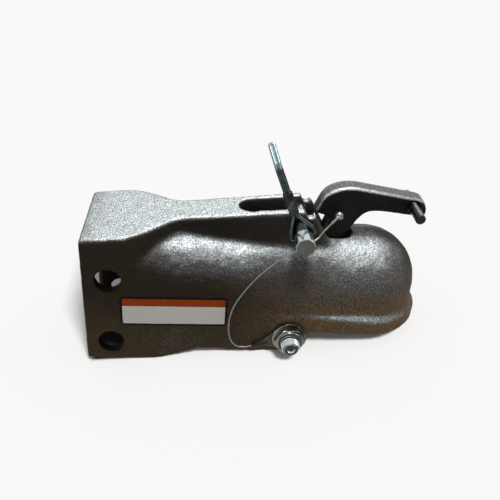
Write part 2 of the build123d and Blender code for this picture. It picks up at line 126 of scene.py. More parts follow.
class Value:
    """A number, colour or shader in a node tree, with arithmetic that adds Math nodes."""

    def __init__(self, nodes, socket):
        self.nodes = nodes
        self.socket = socket

    def math(self, operation, first, second=0.0):
        return self.nodes.node("ShaderNodeMath", {"operation": operation}, {0: first, 1: second})

    def __add__(self, other):
        return self.math("ADD", self, other)

    __radd__ = __add__

    def __sub__(self, other):
        return self.math("SUBTRACT", self, other)

    def __rsub__(self, other):
        return self.math("SUBTRACT", other, self)

    def __mul__(self, other):
        return self.math("MULTIPLY", self, other)

    def __abs__(self):
        return self.math("ABSOLUTE", self)

    def __gt__(self, other):
        return self.math("GREATER_THAN", self, other)

    def __lt__(self, other):
        return self.math("LESS_THAN", self, other)

    def at_least(self, other):
        return self.math("MAXIMUM", self, other)

    def wave(self):
        return self.math("SINE", self)

    def root(self):
        return self.math("SQRT", self)


class Nodes:
    """A node tree that is filled through one method."""

    def __init__(self, tree):
        self.tree = tree
        self.tree.nodes.clear()

    def node(self, kind, settings=None, sockets=None, output=0):
        made = self.tree.nodes.new(kind)
        for key, value in (settings or {}).items():
            setattr(made, key, value)
        for key, value in (sockets or {}).items():
            self.plug(made.inputs[key], value)
        return Value(self, made.outputs[output]) if made.outputs else None

    def plug(self, socket, value):
        if isinstance(value, Value):
            self.tree.links.new(value.socket, socket)
        elif socket.type == "RGBA":
            socket.default_value = (*value[:3], 1)
        else:
            socket.default_value = value

    def blend(self, factor, first, second):
        """Mixes two colours. The Mix node has colours at its inputs 6 and 7 and its output 2."""
        return self.node("ShaderNodeMix", {"data_type": "RGBA"}, {0: factor, 6: first, 7: second}, 2)

    def band(self, value, none, whole):
        """Goes smoothly from 0 at the first bound to 1 at the second, which may be the lower one."""
        sockets = {"Value": value, "From Min": none, "From Max": whole}
        return self.node("ShaderNodeMapRange", {"interpolation_type": "SMOOTHSTEP"}, sockets)

    def axis(self, value, index):
        return self.node("ShaderNodeSeparateXYZ", None, {0: value}, index)

    def seen_white(self):
        """One for the rays that should find a white room: the camera's, mirrored and passing ones."""
        seen = self.node("ShaderNodeLightPath", output="Is Camera Ray")
        for kind in ("Is Glossy Ray", "Is Transmission Ray"):
            seen = seen.at_least(self.node("ShaderNodeLightPath", output=kind))
        return seen


class Finish(Nodes):
    """One material on the Principled shader, read in Object coordinates."""

    def __init__(self, name, plain):
        self.material = bpy.data.materials.new(name)
        self.material.use_nodes = True
        super().__init__(self.material.node_tree)
        shader = self.node("ShaderNodeBsdfPrincipled")
        self.inputs = shader.socket.node.inputs
        self.node("ShaderNodeOutputMaterial", None, {"Surface": shader})
        self.place = self.node("ShaderNodeTexCoord", output="Object")
        for socket, value in plain.items():
            self.feed(socket, value)

    def feed(self, socket, value):
        self.plug(self.inputs[socket], value)
        return self

    def noise(self, size, detail=3.0, roughness=0.55, place=None):
        sockets = {
            "Vector": place or self.place,
            "Scale": 1 / size,
            "Detail": detail,
            "Roughness": roughness,
        }
        return self.node("ShaderNodeTexNoise", None, sockets, "Fac")

    def pebbles(self, size):
        sockets = {"Vector": self.place, "Scale": 1 / size, "Smoothness": 0.7}
        return self.node("ShaderNodeTexVoronoi", {"feature": "SMOOTH_F1"}, sockets, "Distance")

    def normal(self):
        return self.node("ShaderNodeNewGeometry", output="Normal")

    def facing(self, index):
        return self.axis(self.normal(), index)

    def edges(self, none, whole):
        return self.band(self.node("ShaderNodeNewGeometry", output="Pointiness"), none, whole)

    def bump(self, height, depth, strength):
        sockets = {"Height": height, "Distance": depth, "Strength": strength}
        return self.feed("Normal", self.node("ShaderNodeBump", None, sockets))


def casting_finish(look):
    """Sand casting under worn silver paint, with painted light and shade:
    bright with painted glints where it faces up, half bright on slopes, darker on the dull brown walls,
    and painted dark inside.
    """
    finish = Finish("cast_silver_grey", {"Specular IOR Level": 0.06})
    along, across, height = (finish.axis(finish.place, index) for index in (X, Y, Z))
    grain = finish.noise(0.9 * MM, 4, 0.65)
    lumps = finish.pebbles(2.0 * MM)
    cloud = finish.noise(26 * MM, 4)
    blotch = finish.noise(8 * MM, 4, 0.6)

    def zone(value, name):
        none, whole = CAST_ZONES[name]
        return finish.band(value, none * MM, whole * MM)

    outside = zone(along, "ahead_of_box").at_least(zone(height, "roof"))
    dome = zone(along, "dome")
    under_spine = zone(height, "under_spine")
    crown_highlight = zone(along, "barrel_rear") * zone(along, "barrel_front") * under_spine
    flare_highlight = zone(along, "flare_rear") * zone(along, "flare_front") * under_spine
    low = zone(height + (cloud - 0.5) * 0.03, "foot")
    # Painted shade: the upper wall under the spine's overhang
    high = zone(height + (blotch - 0.5) * 0.02, "upper_wall") * zone(along, "shade_rear")

    # Painted light: how far a face counts as lit, from its direction, up and toward the near side, and then
    # from its place
    painted_light_lean = (
        finish.facing(Z) * (0.95 - dome * 0.13)
        - finish.facing(Y) * (0.13 + dome * 0.25)
        - finish.facing(X) * 0.15
    )
    # Painted highlights along the barrel's crown, its flare and the low ridge, and painted shade at the
    # top's rear edge
    painted_light_lift = crown_highlight * 0.08 + flare_highlight * 0.06 + low * (0.27 - dome * 0.12) - zone(along, "rear") * 0.1
    tilt = painted_light_lean + painted_light_lift + (blotch - 0.5) * 0.14
    # Painted light: sloping faces half bright, faces that look up bright
    flank = finish.band(tilt, 0.42, 0.96) * outside
    top = finish.band(tilt, 0.74, 1.0).at_least(crown_highlight * finish.band(tilt, 0.68, 0.98) * 0.7)
    above = top * outside * (1 - low * 0.85)

    # The walls' own dull brown, made darker than the lit faces partly as painted shade
    wall = finish.blend(high, finish.blend(low, look.cast_side, look.cast_brown), look.cast_under_spine_shade)
    nose_foot = zone(height + (cloud - 0.5) * 0.02, "nose_foot")
    nose = finish.blend(nose_foot, look.cast_nose, look.cast_nose_low)
    # Painted light: the walls near the nose are paler
    wall = finish.blend(zone(along, "nose") * (0.8 - high * 0.5), wall, nose)
    # Painted light: the half-lit tone on sloping faces, the lit tone on faces that look up
    colour = finish.blend(flank, wall, look.cast_half_lit_and_specks)
    colour = finish.blend(above, colour, look.cast_lit_top)
    colour = finish.blend(finish.band(grain, 0.58, 0.38) * 0.7, colour, look.cast_pit)
    # Painted glints on the grain of the lit faces
    painted_glint = finish.band(grain, 0.54, 0.68) * (flank * 0.25 + above * 0.5)
    colour = finish.blend(painted_glint, colour, look.cast_glint_and_rub)
    # Convex edges on sloping faces brightened: partly rubbed wear, partly a painted highlight
    colour = finish.blend(finish.edges(0.515, 0.57) * flank * 0.2, colour, look.cast_glint_and_rub)
    rust = finish.band(finish.noise(9 * MM, 5, 0.7), 0.55, 0.72) * low
    colour = finish.blend(rust * 0.5, colour, look.rust)
    specks = finish.band(finish.noise(1.8 * MM, 2), 0.66, 0.76) * outside
    colour = finish.blend(specks * 0.3, colour, look.cast_half_lit_and_specks)
    # Painted shade: inside the box end and its holes painted near black
    hollow = zone(abs(across), "between_walls") * zone(along, "past_rear_face") * (1 - outside)
    colour = finish.blend(hollow, colour, look.cast_hollow_shade)
    finish.feed("Base Color", colour)
    finish.feed("Metallic", flank * 0.3 + above * 0.4)
    finish.feed("Roughness", 0.7 - above * 0.25 + (grain - 0.5) * 0.3)
    return finish.bump(grain * 0.6 + lumps * 0.7, 0.65 * MM, 0.95).material


def latch_finish(look):
    """Charcoal casting with a fine grain, painted lighter with glints where it faces up (painted light),
    and bright along its upper edges: partly rubbed wear, partly a painted highlight, most at the bend.
    """
    finish = Finish("cast_charcoal", {"Specular IOR Level": 0.06})
    grain = finish.noise(0.9 * MM, 4, 0.6)
    lumps = finish.pebbles(1.8 * MM)
    cloud = finish.noise(14 * MM, 3)
    # Painted light: faces that look up get a lighter tone and painted glints on their grain
    above = finish.band(finish.facing(Z), 0.2, 0.8)
    # Upper edges that face up are brightened, most at the bend: partly rubbed wear, partly a painted
    # highlight
    bend = finish.band(finish.axis(finish.place, X), 25 * MM, -25 * MM)
    worn = finish.edges(0.501, 0.52) * finish.band(finish.facing(Z), 0.15, 0.6) * (0.45 + bend * 0.55)
    colour = finish.blend(finish.band(cloud, 0.35, 0.7), look.latch_dark, look.latch_mid)
    colour = finish.blend(above, colour, look.latch_lit_top)
    colour = finish.blend(finish.band(grain, 0.5, 0.68) * (0.03 + above * 0.45), colour, look.latch_rub_and_glint)
    colour = finish.blend(worn * finish.band(grain, 0.3, 0.55), colour, look.latch_rub_and_glint)
    finish.feed("Base Color", colour)
    finish.feed("Metallic", above * 0.25 + worn * 0.4)
    finish.feed("Roughness", 0.55 - worn * 0.1 + (grain - 0.5) * 0.3)
    return finish.bump(grain * 0.5 + lumps * 0.6, 0.35 * MM, 0.7).material


def zinc_finish(look, name, tint, shade, rough, end_face=0.0, rubbed=0.0, reflection_dark_below=None, painted_shadow_at=None):
    """Zinc plate with a painted reflection: each face takes a bright or a dark tone by the way it points.

    Where asked, its near end is dull, its edges are rubbed bright, which also paints a glint on them,
    its painted reflection is darker below a height, or a painted shadow ring lies round it.
    """
    finish = Finish(name, {"Metallic": 1.0})
    cloud = finish.noise(6 * MM, 3)
    marks = finish.noise(0.9 * MM, 3)
    # Painted reflection: each face takes the bright or the dark tone by the way it points
    side = finish.noise(0.55, detail=1.0, roughness=0.5, place=finish.normal()) + (cloud - 0.5) * 0.25
    # Painted reflection made darker below the given height
    if reflection_dark_below:
        below = finish.band(finish.axis(finish.place, Z), reflection_dark_below + 2 * MM, reflection_dark_below - 2 * MM)
        side = side + below * 0.25 - 0.1
    end = finish.band(finish.facing(Y), -0.55, -0.80) * end_face
    colour = finish.blend(finish.band(side, 0.4, 0.62), tint, shade)
    colour = finish.blend(finish.band(cloud, 0.5, 0.75) * 0.3, colour, look.zinc_warm)
    colour = finish.blend(finish.band(marks, 0.56, 0.72) * 0.3, colour, shade)
    colour = finish.blend(end, colour, look.pin_end)
    # Painted shadow: a dark ring round the pin where the bail and the cheek shade it
    if painted_shadow_at:
        ring = finish.band(abs(finish.axis(finish.place, Y) - painted_shadow_at), 9 * MM, 6 * MM)
        colour = finish.blend(ring * 0.95, colour, look.zinc_sleeve_shade)
    # Rubbed edges, brightened also as a painted glint
    colour = finish.blend(finish.edges(0.53, 0.62) * rubbed, colour, look.zinc)
    finish.feed("Base Color", colour)
    finish.feed("Roughness", rough + end * 0.25 + (cloud - 0.5) * 0.15)
    return finish.bump(marks, 0.03 * MM, 0.25).material


def black_finish(look):
    """Gloss black steel with a painted highlight along its top and a faint orange peel."""
    finish = Finish("gloss_black_steel", {"Specular IOR Level": 0.2})
    cloud = finish.noise(3 * MM, 3)
    # Painted highlight: a pale streak on faces that look nearly straight up
    top_glint = finish.band(finish.facing(Z) + (cloud - 0.5) * 0.1, 0.92, 0.985)
    finish.feed("Base Color", finish.blend(top_glint, look.black, look.black_top_glint))
    finish.feed("Roughness", 0.16 + cloud * 0.12)
    return finish.bump(finish.noise(1.0 * MM, 2), 0.08 * MM, 0.4).material


def wire_finish(look):
    """Steel strands, darker in the hollows between them, read from the wire's own map."""
    finish = Finish("laid_steel_wire", {"Metallic": 1.0})
    run = finish.node("ShaderNodeUVMap", {"uv_map": "lay"})
    strand = finish.axis(run, X).wave() * 0.5 + 0.5
    cloud = finish.noise(4 * MM, 3)
    colour = finish.blend(finish.band(strand, 0.05, 0.7), look.wire_dark, look.wire)
    finish.feed("Base Color", finish.blend(finish.band(cloud, 0.5, 0.8) * 0.5, colour, look.zinc_warm))
    finish.feed("Roughness", 0.48 - strand * 0.12 + (cloud - 0.5) * 0.2)
    return finish.bump(finish.noise(0.5 * MM, 2), 0.03 * MM, 0.4).material


def bronze_finish(look):
    """Sintered bronze of the hidden bush."""
    finish = Finish("sintered_bronze", {"Metallic": 1.0})
    grain = finish.noise(0.6 * MM, 3)
    finish.feed("Base Color", finish.blend(grain, look.bronze, look.bronze_dark))
    finish.feed("Roughness", 0.42 + (grain - 0.5) * 0.2)
    return finish.bump(grain, 0.05 * MM, 0.5).material


def nylon_finish(look):
    """Dark nylon ring in the lock nut."""
    finish = Finish("lock_ring_nylon", {"Specular IOR Level": 0.35})
    cloud = finish.noise(1.5 * MM, 2)
    finish.feed("Base Color", finish.blend(cloud, look.nylon, look.nylon_dark))
    finish.feed("Roughness", 0.5 + (cloud - 0.5) * 0.2)
    return finish.bump(cloud, 0.05 * MM, 0.4).material


def label_finish(look):
    """Blank two-tone film with a rounded dark border, scuffed and lifted by the casting's grain."""
    finish = Finish("blank_label_film", {"Specular IOR Level": 0.06})
    along = finish.axis(finish.place, X) - LABEL_MIDDLE.x
    up = finish.axis(finish.place, Z) - LABEL_MIDDLE.z
    past_side = (abs(along) - (LABEL_HALF.x - look.label_round)).at_least(0)
    past_top = (abs(up) - (LABEL_HALF.z - look.label_round)).at_least(0)
    corner = (past_side * past_side + past_top * past_top).root()
    inside = corner < look.label_round - look.label_border
    upper = up > LABEL_HALF.z * 0.37
    scuff = finish.band(finish.noise(3.0 * MM, 5, 0.7), 0.54, 0.74)
    colour = finish.blend(upper, look.label_panel, look.label_band)
    colour = finish.blend(scuff * 0.3, colour, look.label_scuff)
    colour = finish.blend(inside, look.label_edge, colour)
    finish.feed("Base Color", colour)
    finish.feed("Roughness", 0.42 + scuff * 0.25)
    return finish.bump(finish.noise(1.6 * MM, 3), 0.12 * MM, 0.6).material


def floor_finish(look):
    """Pale for the camera, duller for the light it throws back, and painted dark inside the box end as a
    painted shadow.
    """
    material = bpy.data.materials.new("pale_floor")
    material.use_nodes = True
    nodes = Nodes(material.node_tree)
    place = nodes.node("ShaderNodeTexCoord", output="Object")
    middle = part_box("housing")[0][0] + look.covered_length / 2
    past_end = abs(nodes.axis(place, X) - middle) - look.covered_length / 2
    past_side = abs(nodes.axis(place, Y)) - look.covered_width / 2
    # Painted shadow: the ground inside the box end is dark, with a soft edge
    clear = nodes.band(past_end.at_least(past_side), -look.covered_fade, 0)
    seen = nodes.seen_white()
    colour = nodes.blend(clear, look.floor_painted_shadow, nodes.blend(seen, look.floor_bounce, look.floor))
    paint = nodes.node("ShaderNodeBsdfDiffuse", None, {"Color": colour})
    glow = nodes.node("ShaderNodeEmission")
    share = seen * clear * look.floor_glow
    surface = nodes.node("ShaderNodeMixShader", None, {0: share, 1: paint, 2: glow})
    nodes.node("ShaderNodeOutputMaterial", None, {"Surface": surface})
    return material


def room_light(world, strength):
    """A dim even room that the camera and mirrors see as white."""
    world.use_nodes = True
    nodes = Nodes(world.node_tree)
    dim = nodes.node("ShaderNodeBackground", None, {"Color": (1, 1, 1), "Strength": strength})
    white = nodes.node("ShaderNodeBackground", None, {"Color": (1, 1, 1)})
    mixed = nodes.node("ShaderNodeMixShader", None, {0: nodes.seen_white(), 1: dim, 2: white})
    nodes.node("ShaderNodeOutputWorld", None, {"Surface": mixed})


class CouplingLook(bpy.types.PropertyGroup):
    """Colours, sizes and lights of the coupling head that a user would change."""

    def colour(name, words, value):
        return bpy.props.FloatVectorProperty(
            name=name, description=words, subtype="COLOR", size=3, min=0, max=1, default=value
        )

    def length(name, words, value):
        return bpy.props.FloatProperty(
            name=name, description=words, default=value * MM, min=0, unit="LENGTH"
        )

    def amount(name, words, value):
        return bpy.props.FloatProperty(name=name, description=words, default=value, min=0)

    # Painted light: the lit tone of faces that look up, and the half-lit tone of sloping faces, which also
    # colours the pale specks
    cast_lit_top: colour("Cast, top", "Paint on faces that look up", (0.50, 0.54, 0.545))
    cast_half_lit_and_specks: colour("Cast, flank", "Paint on sloping faces", (0.122, 0.126, 0.132))
    # Partly the walls' own dull colour, partly painted shade
    cast_side: colour("Cast, wall", "Dull walls", (0.027, 0.020, 0.012))
    cast_brown: colour("Cast, brown", "Browner foot of the walls", (0.068, 0.049, 0.025))
    # Painted shade under the spine's overhang
    cast_under_spine_shade: colour("Cast, shade", "Walls under the spine", (0.0165, 0.014, 0.011))
    # Painted light: paler tone of the walls near the nose
    cast_nose: colour("Cast, nose", "Paler walls near the nose", (0.130, 0.120, 0.102))
    cast_nose_low: colour("Cast, low nose", "Browner foot of the nose", (0.200, 0.136, 0.076))
    cast_pit: colour("Cast, pit", "Dirt in the grain", (0.016, 0.013, 0.010))
    # Painted shade inside the box end and its holes
    cast_hollow_shade: colour("Cast, hollow", "Inside the box end and its holes", (0.005, 0.004, 0.003))
    # Painted glints on lit grain, and rubbed edges that also carry a painted highlight
    cast_glint_and_rub: colour("Cast, bright", "Rubbed high spots", (0.62, 0.66, 0.66))
    rust: colour("Rust", "Rust low on the walls", (0.075, 0.038, 0.016))
    latch_dark: colour("Latch, dark", "Latch casting", (0.0045, 0.0045, 0.0045))
    latch_mid: colour("Latch, mid", "Paler clouds on the latch", (0.0095, 0.0093, 0.009))
    # Painted light on faces that look up
    latch_lit_top: colour("Latch, top", "Faces of the latch that look up", (0.060, 0.061, 0.063))
    # Rubbed edges with a painted highlight, and painted glints on the lit grain
    latch_rub_and_glint: colour("Latch, worn", "Rubbed edges of the latch", (0.42, 0.44, 0.45))
    # Each plate's bright tone and its shade tone make a painted reflection; the shade tones also colour
    # small random marks
    zinc: colour("Zinc", "Cool zinc plate", (0.58, 0.67, 0.69))
    zinc_shade: colour("Zinc, shade", "Tarnished sides", (0.45, 0.52, 0.53))
    zinc_warm: colour("Zinc, warm", "Warm clouds in the plate", (0.32, 0.29, 0.20))
    pin_end: colour("Pin end", "Dull face on the near ends", (0.046, 0.043, 0.031))
    zinc_bail: colour("Bail", "Zinc on the bail's wire", (0.21, 0.275, 0.29))
    # Dark side of the bail wire's painted reflection
    zinc_bail_shade: colour("Bail, shade", "Tarnish on the bail's wire", (0.030, 0.036, 0.038))
    zinc_sleeve: colour("Sleeve", "Zinc on the bail's sleeve", (0.034, 0.040, 0.040))
    # Dark side of the sleeve's and tab's painted reflection, and the pin's painted shadow ring
    zinc_sleeve_shade: colour("Sleeve, shade", "Tarnish on sleeve, tab and pin", (0.012, 0.014, 0.014))
    zinc_ball: colour("Ball", "Zinc on the lanyard's ball", (0.24, 0.245, 0.24))
    zinc_tab: colour("Tab", "Zinc on the lanyard's tab", (0.050, 0.050, 0.042))
    zinc_nut: colour("Nut", "Yellowish plate on the nut and washers", (0.21, 0.21, 0.175))
    # Dark side of the nut's painted reflection
    zinc_nut_shade: colour("Nut, shade", "Dark sides of the nut", (0.022, 0.022, 0.018))
    black: colour("Black", "Gloss black", (0.005, 0.005, 0.006))
    # Painted highlight along the top of the black
    black_top_glint: colour("Black, worn", "Dusty top of the black", (0.12, 0.13, 0.14))
    wire: colour("Wire", "Strands", (0.28, 0.275, 0.26))
    # Dark between the strands, and the dark side of the ball's painted reflection
    wire_dark: colour("Wire, dark", "Between the strands and on the ball", (0.07, 0.07, 0.068))
    bronze: colour("Bronze", "Bush", (0.50, 0.34, 0.16))
    bronze_dark: colour("Bronze, dark", "Pores of the bush", (0.30, 0.19, 0.09))
    nylon: colour("Nylon", "Lock ring", (0.030, 0.034, 0.042))
    nylon_dark: colour("Nylon, dark", "Lock ring's clouds", (0.015, 0.017, 0.022))
    label_edge: colour("Label, edge", "Dark border", (0.003, 0.003, 0.003))
    label_panel: colour("Label, panel", "Pale panel", (0.60, 0.575, 0.54))
    label_band: colour("Label, band", "Upper band", (0.29, 0.042, 0.003))
    label_scuff: colour("Label, scuff", "Dust and rubs", (0.20, 0.17, 0.13))
    floor: colour("Floor", "Floor as it is seen", (0.80, 0.80, 0.79))
    # Painted shadow on the ground inside the box end
    floor_painted_shadow: colour("Floor, covered", "Ground inside the box end", (0.03, 0.03, 0.03))
    floor_bounce: colour("Floor, bounce", "Floor as it throws light back", (0.45, 0.45, 0.44))
    cast_voxel: length("Casting grid", "Grid of the casting's skin", 1.2)
    latch_voxel: length("Latch grid", "Grid of the latch's skin", 0.8)
    # Below this height the bail wire's painted reflection turns darker
    bail_bend: length("Bail bend", "Height above which the bail's wire stays bright", 95.5)
    wire_grid: length("Wire grid", "Grid of the bent and swaged wire's skin", 0.3)
    wire_diameter: length("Wire", "Lanyard wire's diameter", 1.2)
    wire_length: length("Wire length", "Lanyard from crimp to ball", 146)
    bolt_diameter: length("Bolt", "Pivot bolt's diameter", 12.7)
    thread_pitch: length("Thread pitch", "Rise of one turn of the bolt's thread", 1.95)
    thread_depth: length("Thread depth", "Depth of the bolt's thread", 0.6)
    label_round: length("Label corner", "Radius of the label's corners", 2.6)
    label_border: length("Label border", "Width of the label's dark border", 1.5)
    # Size and soft edge of the painted shadow inside the box end
    covered_length: length("Covered length", "Dark ground inside the box end, along it", 50)
    covered_width: length("Covered width", "Dark ground inside the box end, across it", 70)
    covered_fade: length("Covered edge", "Width of the dark ground's soft edge", 5)
    floor_glow: amount("Floor glow", "Share of the floor that is plain white to the camera", 0.05)
    floor_sun: amount("Floor sun", "Strength of the light that falls on the floor alone", 3.8)
    overhead: amount("Overhead", "Watts of the light above", 14)
    front_fill: amount("Front fill", "Watts of the light in front", 1.6)
    nose_side: amount("Nose side", "Watts of the light beyond the nose", 2.0)
    room: amount("Room", "Strength of the even room light", 0.24)
    lens: bpy.props.FloatProperty(
        name="Lens", description="Camera's focal length", default=46.52, min=20, unit="CAMERA"
    )


def deselect():
    """Leaves edit mode with nothing selected."""
    if bpy.context.object and bpy.context.object.mode != "OBJECT":
        bpy.ops.object.mode_set(mode="OBJECT")
    bpy.ops.object.select_all(action="DESELECT")


def pick(piece):
    deselect()
    piece.select_set(True)
    bpy.context.view_layer.objects.active = piece


def edit(piece):
    """Opens a piece in edit mode with all of it selected."""
    pick(piece)
    bpy.ops.object.mode_set(mode="EDIT")
    bpy.ops.mesh.select_all(action="SELECT")


def apply_modifier(piece, name, kind, **settings):
    pick(piece)
    made = piece.modifiers.new(name, kind)
    for key, value in settings.items():
        setattr(made, key, value)
    bpy.ops.object.modifier_apply(modifier=made.name)


def dress(piece, body, slot, node, *materials):
    """Gives a piece its materials and the body it rides on, and hides the node that it replaces.

    The slot is not used.
    """
    piece.data.materials.clear()
    for material in materials:
        piece.data.materials.append(material)
    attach(piece, body)
    if node:
        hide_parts(node)
    return piece


def new_piece(name, mesh):
    piece = bpy.data.objects.new(name, mesh)
    bpy.context.scene.collection.objects.link(piece)
    return piece


def copy_of(node, name):
    """A merged copy of a node's mesh, as a new piece."""
    piece = new_piece(name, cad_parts[node].data.copy())
    edit(piece)
    bpy.ops.mesh.remove_doubles(threshold=1e-6)
    deselect()
    return piece


def rounded_copy(node, name, voxel, passes):
    """A copy of a node on an even grid, with its corners rounded."""
    piece = copy_of(node, name)
    apply_modifier(piece, "grid", "REMESH", mode="VOXEL", voxel_size=voxel)
    apply_modifier(piece, "rounding", "SMOOTH", factor=0.5, iterations=passes)
    bpy.ops.object.shade_smooth()
    return piece


def cast_skin(node, name, voxel, passes, lumps, lump_size):
    """A rounded copy of a cast node with the low lumps of a sand mould."""
    piece = rounded_copy(node, name, voxel, passes)
    sand = bpy.data.textures.new(name + "_sand", "CLOUDS")
    sand.noise_scale = lump_size
    sand.noise_depth = 2
    apply_modifier(
        piece, "lumps", "DISPLACE", texture=sand, texture_coords="LOCAL", strength=lumps, mid_level=0.5
    )
    return piece


def face_outward(piece):
    """Turns all faces outward and shades them smooth but for the sharp edges."""
    edit(piece)
    bpy.ops.mesh.normals_make_consistent(inside=False)
    pick(piece)
    bpy.ops.object.shade_smooth_by_angle(angle=SMOOTH_ANGLE)


def round_edges(piece, width):
    """Joins flat triangles, breaks the sharp edges and shades the rounds smooth."""
    edit(piece)
    bpy.ops.mesh.dissolve_limited(angle_limit=math.radians(0.5))
    deselect()
    apply_modifier(
        piece, "edges", "BEVEL", width=width, segments=2, limit_method="ANGLE", angle_limit=math.radians(40)
    )
    bpy.ops.object.shade_smooth_by_angle(angle=SMOOTH_ANGLE)


def plated(node, body, slot, material, width=0.2 * MM):
    """A small turned or stamped piece with broken edges."""
    piece = copy_of(node, node + "_plated")
    round_edges(piece, width)
    return dress(piece, body, slot, node, material)


def drawn(node, body, slot, material, grid):
    """A piece of bent or swaged wire, round all over."""
    piece = rounded_copy(node, node + "_drawn", grid, passes=3)
    return dress(piece, body, slot, node, material)


def route_points(name, corners):
    """Points read from the smooth line whose control points are these corners."""
    line = bpy.data.curves.new(name, "CURVE")
    line.dimensions = "3D"
    spline = line.splines.new("NURBS")
    spline.points.add(len(corners) - 1)
    for point, corner in zip(spline.points, corners):
        point.co = (*(Vector(corner) * MM), 1)
    spline.order_u = 3
    spline.use_endpoint_u = True
    spline.resolution_u = 72
    guide = bpy.data.objects.new(name, line)
    mesh = bpy.data.meshes.new_from_object(guide)
    points = [vertex.co.copy() for vertex in mesh.vertices]
    bpy.data.objects.remove(guide)
    bpy.data.meshes.remove(mesh)
    return points


def laid_wire(name, path, radius, strands, lay, groove=0.12):
    """A wire along a path whose section shows its twisted strands, with a map that counts them."""
    sides = strands * 4
    corners = []
    phases = []
    travelled = 0
    across = (path[1] - path[0]).orthogonal()
    for index, point in enumerate(path):
        before = path[max(index - 1, 0)]
        after = path[min(index + 1, len(path) - 1)]
        ahead = (after - before).normalized()
        across = (across - ahead * across.dot(ahead)).normalized()
        up = ahead.cross(across)
        travelled += (point - before).length
        for side in range(sides):
            turn = 2 * math.pi * side / sides
            phase = strands * (turn - 2 * math.pi * travelled / lay)
            reach = radius * (1 - groove + groove * math.sin(phase))
            corners.append(point + (across * math.cos(turn) + up * math.sin(turn)) * reach)
            phases.append(phase)
    faces = []
    for ring in range(len(path) - 1):
        for side in range(sides):
            here = ring * sides + side
            beside = ring * sides + (side + 1) % sides
            faces.append((here, beside, beside + sides, here + sides))
    last = (len(path) - 1) * sides
    faces.append(tuple(reversed(range(sides))))
    faces.append(tuple(range(last, last + sides)))
    mesh = bpy.data.meshes.new(name)
    mesh.from_pydata(corners, [], faces)
    lay_map = mesh.uv_layers.new(name="lay")
    for loop in mesh.loops:
        lay_map.data[loop.index].uv = (phases[loop.vertex_index], 0)
    piece = new_piece(name, mesh)
    pick(piece)
    bpy.ops.object.shade_smooth()
    return piece


class COUPLING_OT_housing(bpy.types.Operator):
    """Casts the housing's skin over its solid"""

    bl_idname = "coupling.housing"
    bl_label = "Housing"

    def execute(self, context):
        look = context.scene.coupling_look
        skin = cast_skin(
            "housing", "housing_casting", look.cast_voxel, passes=7, lumps=0.5 * MM, lump_size=7 * MM
        )
        dress(skin, "housing", "casting", "housing", casting_finish(look))
        return {"FINISHED"}


class COUPLING_OT_latch(bpy.types.Operator):
    """Casts the latch's skin and finishes its bush and cross pin"""

    bl_idname = "coupling.latch"
    bl_label = "Latch"

    def execute(self, context):
        look = context.scene.coupling_look
        skin = cast_skin(
            "latch", "latch_casting", look.latch_voxel, passes=14, lumps=0.3 * MM, lump_size=5 * MM
        )
        dress(skin, "latch", "latch_casting", "latch", latch_finish(look))
        plated("latch_cross_pin", "latch", "black_steel", black_finish(look), width=0.4 * MM)
        plated("latch_bush", "latch", "bronze", bronze_finish(look))
        return {"FINISHED"}


class COUPLING_OT_pin(bpy.types.Operator):
    """Plates the safety pin, its bail and the bail's sleeve"""

    bl_idname = "coupling.pin"
    bl_label = "Safety pin and bail"

    def execute(self, context):
        look = context.scene.coupling_look
        pin = zinc_finish(
            look, "zinc_pin", look.zinc, look.zinc_shade, rough=0.22, end_face=0.9, painted_shadow_at=PIN_SHADOW_MIDDLE
        )
        wire = zinc_finish(
            look, "zinc_wire", look.zinc_bail, look.zinc_bail_shade, rough=0.3, reflection_dark_below=look.bail_bend
        )
        sleeve = zinc_finish(look, "zinc_sleeve", look.zinc_sleeve, look.zinc_sleeve_shade, rough=0.25)
        plated("safety_pin", "safety_pin", "zinc", pin)
        drawn("bail_wire", "bail", "zinc", wire, look.wire_grid)
        plated("bail_sleeve", "bail", "zinc", sleeve, width=0.15 * MM)
        return {"FINISHED"}


